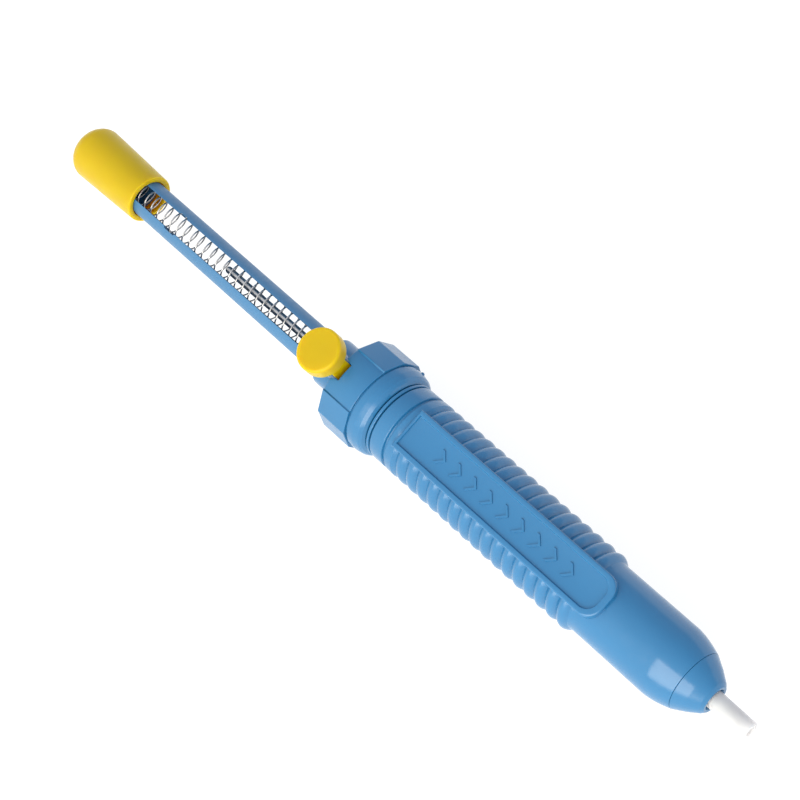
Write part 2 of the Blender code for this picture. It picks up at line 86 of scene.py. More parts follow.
# Raised frame on the barrel and the flat recess in it
PANEL_REAR = 14.9
PANEL_FRONT = 97.8
PANEL_HALF_WIDTH = 7.0
PANEL_CORNER = 5.0
PANEL_TOP = 13.35
PANEL_BOTTOM = 9.2        # the block reaches into the bore, which is cut after it
PANEL_EDGE = 0.55
RECESS_REAR = 15.9
RECESS_FRONT = 95.7
RECESS_HALF_WIDTH = 5.33
RECESS_CORNER = 4.0
RECESS_FLOOR = 12.5
RECESS_EDGE = 0.3
FLOOR_FILLET = 0.25
SUNK_MARGIN = 0.8         # the barrel is sunk this far past the recess's front
CHEVRON_COUNT = 9
CHEVRON_PITCH = 6.6
CHEVRON_START = 31.0
CHEVRON_ARM = 2.4
CHEVRON_WIDTH = 0.95
CHEVRON_HEIGHT = 0.36
CHEVRON_TOP = 0.965       # the share of its size that a chevron keeps at its top

# Rear cap
CAP_REAR = -14.8
CAP_WALL = 1.2
CAP_LIP = -2.6
CAP_MOUTH = 3.9
CAP_APOTHEM = 15.687
CAP_RADIUS = 16.24        # to the corners of the flats
CAP_CORNER_TRIM = 0.02
LIP_RADIUS = 15.2
NIB_STATION = 0.0
NIB_RADIUS = 0.75
CAP_CORNERS = (30, 60, 90, 120, 150, 165, 195, 210, 240, 270, 300, 330)
CAP_ARC_RADIUS = 15.7     # of the sunk arc on top, between the first corner and the last
NECK_REAR = -27.0
NECK_RADIUS = 8.3
NECK_BORE = 6.7
CAP_CAVITY = 12.2
BOSS_RADIUS = 4.6
BOSS_BOTTOM = 7.0
BOSS_TOP = 13.0
POCKET_RADIUS = 3.4
POCKET_FLOOR = 8.3
NOTCH_FRONT = -11.65
NOTCH_REAR_HALF = 3.8
NOTCH_FRONT_HALF = 3.05
NOTCH_FLOOR = 8.8
GASKET_RADIUS = 13.25

# Plunger
SHAFT_RADIUS = 6.4
SHAFT_REAR = -149.7
SHAFT_FRONT = -2.7
SLOT_REAR = -126.0
SLOT_FRONT = -5.5
SLOT_HALF = 3.1
SPRING_BORE = 4.75
SHAFT_SPIGOT = 4.0
SHAFT_SPIGOT_END = 8.9
ROD_HOLE = 1.5
LATCH_NOTCH_REAR = -106.3
LATCH_NOTCH_FRONT = -100.7
LATCH_NOTCH_HALF = 3.7
KNOB_APEX = -157.6
KNOB_SHOULDER = -151.1
KNOB_MOUTH = -122.0
KNOB_SHOULDER_RADIUS = 9.45
KNOB_MOUTH_RADIUS = 8.55
KNOB_BORE = 6.7
KNOB_FLOOR = -150.0
ROD_RADIUS = 1.2

# Springs
MAIN_SPRING_MEAN = 4.2
MAIN_SPRING_WIRE = 0.27
MAIN_SPRING_PITCH = 3.46
MAIN_SPRING_CREST = -99.2   # a station where a coil crosses the top
TRIGGER_SPRING_MEAN = 2.65
TRIGGER_SPRING_WIRE = 0.25
TRIGGER_SPRING_TURNS = 5

# Trigger
BUTTON_RADIUS = 7.3
BUTTON_BOTTOM = 17.8
BUTTON_TOP = 22.8
BUTTON_EDGE = 0.95
POST_RADIUS = 1.8
POST_BOTTOM = 12.0
STEM_REAR = -14.5
STEM_FRONT = -13.6
STEM_HALF = 2.9
STEM_BOTTOM = 11.3

# Nose and nozzle
NOSE_SPIGOT_REAR = 118.0
NOSE_SPIGOT_RADIUS = 8.2
NOSE_GROOVE_START = 119.9
NOSE_GROOVE_END = 121.9
NOSE_GROOVE_FLOOR = 6.6
NOSE_CAVITY = 4.5
NOSE_CAVITY_END = 128.3
NOSE_START = 126.3
NOSE_END = 134.0
NOSE_BORE = 3.2
MOUTH_START = 133.2
MOUTH_RADIUS = 3.6
NOSE_LIP_RADIUS = 4.45
TIP_REAR = 124.0
TIP_FRONT = 147.0
TIP_ROOT_RADIUS = 2.92
TIP_END_RADIUS = 2.74
TIP_FLANGE = 4.2
TIP_SHOULDER = 126.4
TIP_BORE = 1.5

# The frame's own places
AXIS_HEIGHT = sum(corner.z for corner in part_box("cleaning_rod")) / 2
STATION_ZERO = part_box("barrel")[1].x - NOSE_SEAM * MM
BUTTON_CENTRE = (sum(corner.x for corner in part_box("trigger_spring")) / 2
                 - STATION_ZERO) / MM


def station_of(corner):
    """The station, in millimetres, of a point in the frame."""
    return (corner.x - STATION_ZERO) / MM


def place(station, across, up):
    """A point in the frame, from millimetres along, across and above the tool axis."""
    return Vector((STATION_ZERO + station * MM, across * MM, AXIS_HEIGHT + up * MM))


# ---------------------------------------------------------------- mesh helpers

def arc(station, radius, size, start, end, steps):
    """Points (station, radius) round a centre, from start to end degrees."""
    points = []
    for step in range(steps + 1):
        angle = math.radians(start + (end - start) * step / steps)
        points.append((station + size * math.cos(angle), radius + size * math.sin(angle)))
    return points


def filleted(corners, steps=5):
    """A closed or open outline from (x, y, fillet) corners, with each corner rounded."""
    count = len(corners)
    points = []
    for index, (x, y, size) in enumerate(corners):
        here = Vector((x, y))
        before = Vector(corners[index - 1][:2])
        after = Vector(corners[(index + 1) % count][:2])
        back = before - here
        ahead = after - here
        if size <= 0 or back.length < 1e-6 or ahead.length < 1e-6:
            points.append((x, y))
            continue
        half = back.angle(ahead) / 2
        reach = min(size / math.tan(half), 0.49 * back.length, 0.49 * ahead.length)
        start = here + back.normalized() * reach
        end = here + ahead.normalized() * reach
        for step in range(steps + 1):
            t = step / steps
            point = start * (1 - t) ** 2 + here * 2 * t * (1 - t) + end * t ** 2
            points.append((point.x, point.y))
    return points


def skin(name, rings, closed):
    """A mesh skinned over rings of points. A ring of one point is a pole."""
    shape = bmesh.new()
    levels = [[shape.verts.new(point) for point in ring] for ring in rings]
    pairs = list(zip(levels, levels[1:]))
    if closed:
        pairs.append((levels[-1], levels[0]))
    for low, high in pairs:
        count = max(len(low), len(high))
        for side in range(count):
            after = (side + 1) % count
            if len(low) == 1:
                shape.faces.new((low[0], high[side], high[after]))
            elif len(high) == 1:
                shape.faces.new((low[side], high[0], low[after]))
            else:
                shape.faces.new((low[side], high[side], high[after], low[after]))
    if not closed:
        for end in (levels[0], levels[-1]):
            if len(end) > 1:
                shape.faces.new(end)
    bmesh.ops.recalc_face_normals(shape, faces=shape.faces)
    mesh = bpy.data.meshes.new(name)
    shape.to_mesh(mesh)
    shape.free()
    obj = bpy.data.objects.new(name, mesh)
    bpy.context.scene.collection.objects.link(obj)
    return obj


def round_section(_station, radius, _angle):
    return radius


def turned(name, outline, closed=False, sides=ROUND, section=round_section):
    """A solid turned about the tool axis, from (station, radius) points."""
    rings = []
    for station, radius in outline:
        if radius < 1e-6:
            rings.append([place(station, 0, 0)])
            continue
        ring = []
        for side in range(sides):
            angle = 2 * math.pi * side / sides
            reach = section(station, radius, angle)
            ring.append(place(station, reach * math.sin(angle), reach * math.cos(angle)))
        rings.append(ring)
    return skin(name, rings, closed)


def upright(name, centre, outline, sides=SMALL_ROUND):
    """A solid turned about a vertical line at this station, from (radius, up) points."""
    rings = []
    for radius, up in outline:
        if radius < 1e-6:
            rings.append([place(centre, 0, up)])
            continue
        rings.append([place(centre + radius * math.cos(2 * math.pi * side / sides),
                            radius * math.sin(2 * math.pi * side / sides), up)
                      for side in range(sides)])
    return skin(name, rings, False)


def stacked(name, levels):
    """A solid from (outline of (station, across) points, up) levels, low to high."""
    return skin(name, [[place(x, y, up) for x, y in outline] for outline, up in levels], False)


def boolean(target, other, operation):
    """Applies a Boolean to the target and removes the other object."""
    modifier = target.modifiers.new("boolean", "BOOLEAN")
    modifier.operation = operation
    modifier.solver = "EXACT"
    modifier.object = other
    apply_modifiers(target)
    bpy.data.objects.remove(other, do_unlink=True)


def apply_modifiers(obj):
    graph = bpy.context.evaluated_depsgraph_get()
    mesh = bpy.data.meshes.new_from_object(obj.evaluated_get(graph))
    obj.modifiers.clear()
    obj.data = mesh


def soften_edges(obj, width, angle=35, segments=3):
    """Rounds the sharp edges of a piece that was cut with Booleans."""
    modifier = obj.modifiers.new("bevel", "BEVEL")
    modifier.width = width * MM
    modifier.segments = segments
    modifier.limit_method = "ANGLE"
    modifier.angle_limit = math.radians(angle)
    modifier.harden_normals = False
    modifier.use_clamp_overlap = True
    apply_modifiers(obj)


def finish_piece(obj, material, body, slot, *nodes, smooth=40):
    obj.data.materials.clear()
    obj.data.materials.append(material)
    obj.data.shade_smooth()
    obj.data.set_sharp_from_angle(angle=math.radians(smooth))
    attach(obj, body)
    if nodes:
        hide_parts(*nodes)
    return obj


# ------------------------------------------------------------------- materials

WHITE = (1.0, 1.0, 1.0)


class Nodes:
    """A Principled material under construction, with short calls for its nodes."""

    def __init__(self, name):
        self.material = bpy.data.materials.new(name)
        self.material.use_nodes = True
        self.tree = self.material.node_tree
        self.shader = self.tree.nodes["Principled BSDF"]
        place_node = self.tree.nodes.new("ShaderNodeTexCoord")
        self.object = place_node.outputs["Object"]

    def add(self, kind, **settings):
        node = self.tree.nodes.new(kind)
        for key, value in settings.items():
            if key in node.inputs:
                node.inputs[key].default_value = value
            else:
                setattr(node, key, value)
        return node

    def link(self, source, target):
        self.tree.links.new(source, target)

    def noise(self, scale, detail=4.0, stretch=(1, 1, 1), roughness=0.55):
        mapping = self.add("ShaderNodeMapping", Scale=stretch)
        noise = self.add("ShaderNodeTexNoise", Scale=scale, Detail=detail,
                         Roughness=roughness)
        self.link(self.object, mapping.inputs["Vector"])
        self.link(mapping.outputs["Vector"], noise.inputs["Vector"])
        return noise.outputs["Fac"]

    def ramp(self, source, stops):
        """Colours against the source value, from (position, colour) stops."""
        ramp = self.add("ShaderNodeValToRGB")
        elements = ramp.color_ramp.elements
        while len(elements) < len(stops):
            elements.new(0.5)
        for element, (position, colour) in zip(elements, stops):
            element.position = position
            element.color = (*colour, 1.0)
        self.link(source, ramp.inputs["Fac"])
        return ramp.outputs["Color"]

    def span(self, source, low, high):
        """The middle of a noise source, spread from low to high."""
        node = self.add("ShaderNodeMapRange")
        node.inputs["From Min"].default_value = 0.3
        node.inputs["From Max"].default_value = 0.7
        node.inputs["To Min"].default_value = low
        node.inputs["To Max"].default_value = high
        self.link(source, node.inputs["Value"])
        return node.outputs["Result"]

    def bump(self, layers):
        """Adds up bump layers of (height source, strength, distance in millimetres)."""
        normal = None
        for source, strength, distance in layers:
            bump = self.add("ShaderNodeBump", Strength=strength, Distance=distance * MM)
            self.link(source, bump.inputs["Height"])
            if normal is not None:
                self.link(normal, bump.inputs["Normal"])
            normal = bump.outputs["Normal"]
        self.link(normal, self.shader.inputs["Normal"])

    def set(self, **values):
        for key, value in values.items():
            self.shader.inputs[key.replace("_", " ")].default_value = value


def shade(colour, factor):
    return tuple(min(1.0, channel * factor) for channel in colour)


def moulded_plastic(name, colour, roughness, grain=0.3, specular=0.6, subsurface=0.06,
                    depth=0.0015, scatter=(0.6, 0.9, 1.0)):
    """Satin moulded plastic with faint flow streaks and a fine spark-eroded grain."""
    nodes = Nodes(name)
    cloud = nodes.noise(28.0, 3.0, stretch=(0.35, 1, 1))
    nodes.link(nodes.ramp(cloud, [(0.3, shade(colour, 0.92)), (0.5, colour),
                                  (0.7, shade(colour, 1.08))]),
               nodes.shader.inputs["Base Color"])
    nodes.link(nodes.span(nodes.noise(420.0, 3.0), roughness - 0.05, roughness + 0.07),
               nodes.shader.inputs["Roughness"])
    fine = nodes.noise(5200.0, 2.0)
    ripple = nodes.noise(90.0, 2.0, stretch=(0.3, 1, 1))
    nodes.bump([(ripple, 0.35, 0.06), (fine, grain, 0.02)])
    nodes.set(IOR=1.5, Specular_IOR_Level=specular, Subsurface_Weight=subsurface,
              Subsurface_Scale=depth)
    nodes.shader.inputs["Subsurface Radius"].default_value = scatter
    return nodes.material


def waxy_plastic(name, colour, roughness):
    """Translucent white fluoroplastic or natural nylon, with a soft grain."""
    nodes = Nodes(name)
    cloud = nodes.noise(160.0, 4.0)
    nodes.link(nodes.ramp(cloud, [(0.3, shade(colour, 0.94)), (0.7, shade(colour, 1.03))]),
               nodes.shader.inputs["Base Color"])
    nodes.link(nodes.span(nodes.noise(900.0), roughness - 0.06, roughness + 0.08),
               nodes.shader.inputs["Roughness"])
    turning = nodes.noise(700.0, 3.0, stretch=(6, 1, 1))
    nodes.bump([(turning, 0.35, 0.03), (nodes.noise(4200.0), 0.25, 0.02)])
    nodes.set(IOR=1.38, Subsurface_Weight=0.8, Subsurface_Scale=0.01)
    nodes.shader.inputs["Subsurface Radius"].default_value = (1.0, 0.9, 0.85)
    return nodes.material


def drawn_steel(name, colour, roughness):
    """Bright drawn wire or sheet steel with fine draw lines and faint stain."""
    nodes = Nodes(name)
    stain = nodes.noise(300.0, 5.0)
    nodes.link(nodes.ramp(stain, [(0.3, shade(colour, 0.8)), (0.6, colour),
                                  (0.8, shade(colour, 1.08))]),
               nodes.shader.inputs["Base Color"])
    lines = nodes.noise(1500.0, 3.0, stretch=(0.15, 1, 1))
    nodes.link(nodes.span(lines, roughness - 0.08, roughness + 0.1),
               nodes.shader.inputs["Roughness"])
    nodes.bump([(lines, 0.3, 0.01)])
    nodes.set(Metallic=1.0)
    return nodes.material


def moulded_rubber(name, colour, roughness):
    nodes = Nodes(name)
    dust = nodes.noise(350.0, 5.0)
    nodes.link(nodes.ramp(dust, [(0.35, shade(colour, 0.7)), (0.75, shade(colour, 1.6))]),
               nodes.shader.inputs["Base Color"])
    nodes.link(nodes.span(dust, roughness - 0.08, roughness + 0.08),
               nodes.shader.inputs["Roughness"])
    nodes.bump([(nodes.noise(2600.0), 0.5, 0.02)])
    return nodes.material


def lit_acrylic():
    """A white acrylic table that glows from below, so that shadows on it stay faint."""
    nodes = Nodes("table_acrylic")
    tone = nodes.noise(6.0, 2.0)
    nodes.link(nodes.ramp(tone, [(0.3, shade(WHITE, 0.20)), (0.7, shade(WHITE, 0.22))]),
               nodes.shader.inputs["Base Color"])
    nodes.set(Roughness=0.9, Specular_IOR_Level=0.1, Emission_Strength=0.88)
    nodes.shader.inputs["Emission Color"].default_value = (*WHITE, 1.0)
    return nodes.material


BLUE = (0.021, 0.151, 0.322)
SHAFT_BLUE = (0.042, 0.165, 0.325)
YELLOW = (0.52, 0.368, 0.001)
blue_plastic = moulded_plastic("blue_moulding", BLUE, 0.20)
shaft_plastic = moulded_plastic("blue_shaft_moulding", SHAFT_BLUE, 0.45)
yellow_plastic = moulded_plastic("yellow_moulding", YELLOW, 0.34, grain=0.12, specular=0.25,
                                 subsurface=0.8, depth=0.006, scatter=(1.0, 0.7, 0.1))
tip_plastic = waxy_plastic("white_fluoroplastic", (0.54, 0.533, 0.53), 0.4)
nylon = waxy_plastic("natural_nylon", (0.72, 0.70, 0.62), 0.45)
steel = drawn_steel("drawn_steel", (0.60, 0.59, 0.58), 0.28)
# Painted shade: the latch plate is made near black so that the notch in front of the stem shows
# dark.
notch_shade_steel = drawn_steel("notch_shade_steel", (0.07, 0.065, 0.075), 0.5)
rubber = moulded_rubber("black_rubber", (0.02, 0.02, 0.021), 0.65)


# ---------------------------------------------------------------------- pieces

def plate_outline(rear, front, half_width, corner, inset=0.0, steps=10):
    """A plate with square rear corners and round front corners, drawn in by inset."""
    rear += inset
    front -= inset
    half_width -= inset
    corner = max(corner - inset, 0.05)
    outline = [(rear, -half_width)]
    outline += arc(front - corner, -half_width + corner, corner, -90, 0, steps)
    outline += arc(front - corner, half_width - corner, corner, 0, 90, steps)
    outline.append((rear, half_width))
    return outline


def quarter_turn(steps):
    """Angles from nothing to a quarter turn."""
    return [math.radians(90 * step / steps) for step in range(steps + 1)]


def rib_outline():
    """Rounded grip ribs with sharp valleys, a little deeper toward the front.

    The first rib is plain up to its last two points, next to the groove behind it.
    """
    points = []
    for rib in range(RIB_COUNT):
        depth = RIB_DEPTH_REAR + (RIB_DEPTH_FRONT - RIB_DEPTH_REAR) * rib / (RIB_COUNT - 1)
        first = RIB_STEPS - 2 if rib == 0 else 0
        for step in range(first, RIB_STEPS):
            across = 2 * step / RIB_STEPS - 1
            height = RIB_CREST - depth * abs(across) ** RIB_SHAPE
            points.append((RIB_START + RIB_PITCH * (rib + step / RIB_STEPS), height))
    return points


def barrel_section(station, radius, angle):
    """Sinks the barrel's surface under the recess of the raised frame."""
    front = RECESS_FRONT + SUNK_MARGIN
    if not PANEL_REAR + 0.5 < station < front or math.cos(angle) < 0:
        return radius
    limit = RECESS_HALF_WIDTH + 0.9
    corner_start = front - RECESS_CORNER
    if station > corner_start:
        limit = 1.5 + math.sqrt(max(RECESS_CORNER ** 2 - (station - corner_start) ** 2, 0))
    if abs(radius * math.sin(angle)) < limit:
        return min(radius, (RECESS_FLOOR - 0.5) / math.cos(angle))
    return radius


def make_panel_block():
    """The raised frame with its recess, as one block with rounded edges."""
    outer = (PANEL_REAR, PANEL_FRONT, PANEL_HALF_WIDTH, PANEL_CORNER)
    inner = (RECESS_REAR, RECESS_FRONT, RECESS_HALF_WIDTH, RECESS_CORNER)
    levels = [(plate_outline(*outer), PANEL_BOTTOM)]
    for turn in quarter_turn(5):
        levels.append((plate_outline(*outer, inset=PANEL_EDGE * (1 - math.cos(turn))),
                       PANEL_TOP - PANEL_EDGE + PANEL_EDGE * math.sin(turn)))
    for turn in quarter_turn(4):
        levels.append((plate_outline(*inner, inset=-RECESS_EDGE * (1 - math.sin(turn))),
                       PANEL_TOP - RECESS_EDGE * (1 - math.cos(turn))))
    for turn in quarter_turn(3):
        inset = 0.08 + FLOOR_FILLET * (1 - math.cos(turn))
        levels.append((plate_outline(*inner, inset=inset),
                       RECESS_FLOOR + FLOOR_FILLET * (1 - math.sin(turn))))
    return stacked("panel_block", levels)


def make_barrel():
    outer = filleted([(SPIGOT_START, SPIGOT_RADIUS, 0.3), (COLLAR_START, SPIGOT_RADIUS, 0.1),
                      (COLLAR_START, COLLAR_RADIUS, 0.6),
                      (COLLAR_END, COLLAR_RADIUS, 0.35),
                      (COLLAR_END + 0.3, GROOVE_RADIUS, 0.25),
                      (GROOVE_END - 0.2, GROOVE_RADIUS, 0.2),
                      (GROOVE_END, RIB_CREST - 0.12, 0.25),
                      (RIB_START + 0.7 * RIB_PITCH, RIB_CREST - 0.05, 0)])
    outer += rib_outline()
    end = RIB_START + RIB_PITCH * RIB_COUNT
    smooth_start = end + 1.1
    outer += [(end, RIB_CREST - RIB_DEPTH_FRONT), (end + 0.5, FRONT_RADIUS + 0.15),
              (smooth_start, FRONT_RADIUS)]
    smooth_run = TAPER_START - smooth_start
    outer += [(smooth_start + smooth_run * step / 24, FRONT_RADIUS) for step in range(1, 24)]
    drop = FRONT_RADIUS - SEAM_RADIUS
    taper_run = NOSE_SEAM - TAPER_START - 0.12
    for step in range(17):
        share = step / 16
        outer.append((TAPER_START + taper_run * share,
                      FRONT_RADIUS - drop * share ** TAPER_SHAPE))
    outer += [(NOSE_SEAM - 0.04, SEAM_RADIUS - 0.04), (NOSE_SEAM, SEAM_RADIUS - 0.12)]
    solid = [(SPIGOT_START, 0)] + outer + [(NOSE_SEAM, 0)]
    barrel = turned("barrel_shell", solid, section=barrel_section)
    boolean(barrel, make_panel_block(), "UNION")
    bore = [(SPIGOT_START - 1, 0), (SPIGOT_START - 1, BARREL_BORE),
            (NOSE_SOCKET_START - 2, BARREL_BORE), (NOSE_SOCKET_START, NOSE_SOCKET_RADIUS),
            (NOSE_SEAM + 1, NOSE_SOCKET_RADIUS), (NOSE_SEAM + 1, 0)]
    boolean(barrel, turned("barrel_bore", bore), "DIFFERENCE")
    finish_piece(barrel, blue_plastic, "barrel", "barrel", "barrel", smooth=30)


def make_chevrons():
    """A row of low chevrons on the recess floor, pointing to the nozzle."""
    arm = CHEVRON_ARM
    width = CHEVRON_WIDTH
    for index in range(CHEVRON_COUNT):
        centre = CHEVRON_START + CHEVRON_PITCH * index
        outline = [(centre - arm, -arm), (centre - arm + width, -arm), (centre + width, 0),
                   (centre - arm + width, arm), (centre - arm, arm), (centre, 0)]
        middle = sum(x for x, _ in outline) / len(outline)
        top = [(middle + (x - middle) * CHEVRON_TOP, y * CHEVRON_TOP) for x, y in outline]
        levels = [(outline, RECESS_FLOOR - 0.15),
                  (outline, RECESS_FLOOR + 0.6 * CHEVRON_HEIGHT),
                  (top, RECESS_FLOOR + CHEVRON_HEIGHT)]
        finish_piece(stacked(f"grip_chevron_{index + 1}", levels), blue_plastic, "barrel",
                     "barrel")


def cap_section(station, radius, angle):
    """Behind the lip: flats with slightly rounded corners, and a sunk arc on top."""
    if not CAP_REAR - 0.01 <= station <= CAP_LIP + 0.01 or radius < CAP_CAVITY + 1:
        return radius
    scale = radius / CAP_APOTHEM
    if math.cos(angle) > math.cos(math.radians(CAP_CORNERS[0] - 0.5)):
        return scale * CAP_ARC_RADIUS
    reach = CAP_RADIUS
    for low, high in zip(CAP_CORNERS, CAP_CORNERS[1:]):
        apothem = CAP_RADIUS * math.cos(math.radians(high - low) / 2)
        facing = math.cos(angle - math.radians(high + low) / 2)
        if facing > 0.5:
            reach = min(reach, apothem / facing)
    return scale * min(reach, CAP_RADIUS - CAP_CORNER_TRIM)


def make_rear_cap():
    crease = LIP_RADIUS - 0.3
    lip = [(CAP_LIP, crease, 0.05), (CAP_LIP + 0.35, crease, 0.05),
           (CAP_LIP + 0.5, LIP_RADIUS + 0.1, 0.15), (CAP_LIP + 2.9, LIP_RADIUS, 0.3),
           (CAP_LIP + 4.9, LIP_RADIUS - 0.45, 0.9), (CAP_LIP + 5.9, LIP_RADIUS - 1.2, 0.5),
           (CAP_MOUTH, COLLAR_RADIUS - 0.2, 0.2)]
    outline = filleted([(NECK_REAR, NECK_BORE, 0.3), (NECK_REAR, NECK_RADIUS, 0.9),
                        (CAP_REAR, NECK_RADIUS, 0.4), (CAP_REAR, CAP_APOTHEM, 0.6),
                        (CAP_LIP, CAP_APOTHEM, 0.2)] + lip
                       + [(CAP_MOUTH, CAP_CAVITY, 0.1), (CAP_REAR + CAP_WALL, CAP_CAVITY, 0),
                          (CAP_REAR + CAP_WALL, NECK_BORE, 0)], steps=6)
    cap = turned("cap_shell", outline, closed=True, sides=360, section=cap_section)
    boss = filleted([(0, BOSS_BOTTOM, 0), (BOSS_RADIUS, BOSS_BOTTOM, 0),
                     (BOSS_RADIUS, BOSS_TOP, 0.5), (0, BOSS_TOP, 0)])
    boolean(cap, upright("boss", BUTTON_CENTRE, boss), "UNION")
    notch = [(CAP_REAR - 0.25, -NOTCH_REAR_HALF), (NOTCH_FRONT, -NOTCH_FRONT_HALF),
             (NOTCH_FRONT, NOTCH_FRONT_HALF), (CAP_REAR - 0.25, NOTCH_REAR_HALF)]
    boolean(cap, stacked("notch", [(notch, NOTCH_FLOOR), (notch, CAP_RADIUS + 1)]), "DIFFERENCE")
    pocket = [(0, POCKET_FLOOR), (POCKET_RADIUS, POCKET_FLOOR), (POCKET_RADIUS, BOSS_TOP + 1),
              (0, BOSS_TOP + 1)]
    boolean(cap, upright("pocket", BUTTON_CENTRE, pocket), "DIFFERENCE")
    finish_piece(cap, blue_plastic, "rear_cap", "cap", "rear_cap", smooth=10)


def make_mould_nib():
    """The trace of the moulding gate, on the side of the cap's lip."""
    shape = bmesh.new()
    bmesh.ops.create_icosphere(shape, subdivisions=3, radius=NIB_RADIUS * MM)
    mesh = bpy.data.meshes.new("mould_nib")
    shape.to_mesh(mesh)
    shape.free()
    nib = bpy.data.objects.new("mould_nib", mesh)
    nib.location = place(NIB_STATION, LIP_RADIUS - 0.2, 0)
    bpy.context.scene.collection.objects.link(nib)
    finish_piece(nib, blue_plastic, "rear_cap", "cap")


def make_gasket():
    low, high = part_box("cap_gasket")
    rear = station_of(low) + 0.2
    front = station_of(high) - 0.1
    outline = filleted([(rear, CAP_CAVITY, 0.1), (rear, GASKET_RADIUS, 0.3),
                        (front, GASKET_RADIUS, 0.3), (front, CAP_CAVITY, 0.1)])
    ring = turned("cap_joint_ring", outline, closed=True)
    finish_piece(ring, blue_plastic, "cap_ring", "gasket", "cap_gasket")


def make_shaft():
    outline = filleted([(SHAFT_REAR, SPRING_BORE, 0), (SHAFT_REAR, SHAFT_RADIUS, 0.4),
                        (SHAFT_FRONT, SHAFT_RADIUS, 0.4), (SHAFT_FRONT, SHAFT_SPIGOT, 0.1),
                        (SHAFT_SPIGOT_END, SHAFT_SPIGOT, 0.3), (SHAFT_SPIGOT_END, ROD_HOLE, 0),
                        (SLOT_FRONT + 0.1, ROD_HOLE, 0), (SLOT_FRONT + 0.1, SPRING_BORE, 0)])
    shaft = turned("slotted_shaft", outline, closed=True, sides=96)
    half = [(SLOT_REAR, SLOT_HALF), (LATCH_NOTCH_REAR, SLOT_HALF),
            (LATCH_NOTCH_REAR + 0.4, LATCH_NOTCH_HALF),
            (LATCH_NOTCH_FRONT - 0.4, LATCH_NOTCH_HALF), (LATCH_NOTCH_FRONT, SLOT_HALF),
            (SLOT_FRONT, SLOT_HALF)]
    slot = half + [(station, -across) for station, across in reversed(half)]
    reach = SHAFT_RADIUS + 1.6
    boolean(shaft, stacked("slot", [(slot, -reach), (slot, reach)]), "DIFFERENCE")
    soften_edges(shaft, 0.22)
    finish_piece(shaft, shaft_plastic, "plunger", "shaft", "plunger_shaft", smooth=35)


def make_knob():
    depth = KNOB_SHOULDER - KNOB_APEX
    outline = [(KNOB_APEX, 0)]
    for step in range(1, 25):
        angle = math.radians(90 * step / 24)
        outline.append((KNOB_SHOULDER - depth * math.cos(angle),
                        KNOB_SHOULDER_RADIUS * math.sin(angle) ** 0.92))
    run = KNOB_MOUTH - KNOB_SHOULDER
    for step in range(1, 12):
        share = step / 12
        outline.append((KNOB_SHOULDER + run * share, KNOB_SHOULDER_RADIUS
                        + (KNOB_MOUTH_RADIUS - KNOB_SHOULDER_RADIUS) * share))
    outline += arc(KNOB_MOUTH - 0.45, KNOB_MOUTH_RADIUS - 0.45, 0.45, 90, 0, 6)
    outline += arc(KNOB_MOUTH - 0.25, KNOB_BORE + 0.25, 0.25, 0, -90, 4)
    outline += [(KNOB_FLOOR, KNOB_BORE), (KNOB_FLOOR, 0)]
    knob = turned("push_knob", outline)
    finish_piece(knob, yellow_plastic, "plunger", "knob", "plunger_knob", smooth=38)


def coil(name, start, end, pitch, crest, mean, wire, centre=None, steps=32, sides=10,
         closed_turns=1.2):
    """A compression spring with closed end coils, along the tool or standing upright.

    The open coils cross the top at the crest's place and at every pitch from it.
    """
    closed_run = 2.2 * wire * closed_turns
    open_turns = (end - start - 2 * closed_run) / pitch
    turns = open_turns + 2 * closed_turns
    crest_turn = closed_turns + (crest - start - closed_run) / pitch
    total = int(steps * turns)
    rings = []
    for step in range(total + 1):
        turn_count = turns * step / total
        angle = 2 * math.pi * (turn_count - crest_turn)
        if turn_count < closed_turns:
            along = start + closed_run * turn_count / closed_turns
        elif turn_count > turns - closed_turns:
            along = end - closed_run * (turns - turn_count) / closed_turns
        else:
            along = start + closed_run + pitch * (turn_count - closed_turns)
        ring = []
        for side in range(sides):
            turn = 2 * math.pi * side / sides
            radius = mean + wire * math.cos(turn)
            offset = along + wire * math.sin(turn)
            across = -radius * math.sin(angle)
            if centre is None:
                ring.append(place(offset, across, radius * math.cos(angle)))
            else:
                ring.append(place(centre + across, radius * math.cos(angle), offset))
        rings.append(ring)
    return skin(name, rings, False)


def make_springs():
    low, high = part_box("main_spring")
    start = station_of(low) + MAIN_SPRING_WIRE
    end = station_of(high) - MAIN_SPRING_WIRE
    main = coil("plunger_spring", start, end, MAIN_SPRING_PITCH, MAIN_SPRING_CREST,
                MAIN_SPRING_MEAN, MAIN_SPRING_WIRE)
    finish_piece(main, steel, "rear_cap", "steel", "main_spring", smooth=60)
    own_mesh(main)
    low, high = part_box("trigger_spring")
    start = (low.z - AXIS_HEIGHT) / MM + TRIGGER_SPRING_WIRE
    end = (high.z - AXIS_HEIGHT) / MM - TRIGGER_SPRING_WIRE
    small = coil("button_spring", start, end, (end - start) / TRIGGER_SPRING_TURNS, start,
                 TRIGGER_SPRING_MEAN, TRIGGER_SPRING_WIRE, centre=BUTTON_CENTRE)
    finish_piece(small, steel, "rear_cap", "steel", "trigger_spring", smooth=60)
    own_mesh(small)


def make_rod():
    low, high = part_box("cleaning_rod")
    rear = station_of(low)
    front = station_of(high)
    outline = [(rear, 0)]
    outline += arc(rear + ROD_RADIUS, 0, ROD_RADIUS, 170, 90, 8)
    outline += [(front - 0.4, ROD_RADIUS), (front, ROD_RADIUS - 0.4), (front, 0)]
    rod = turned("steel_rod", outline, sides=32)
    finish_piece(rod, steel, "plunger", "steel", "cleaning_rod")


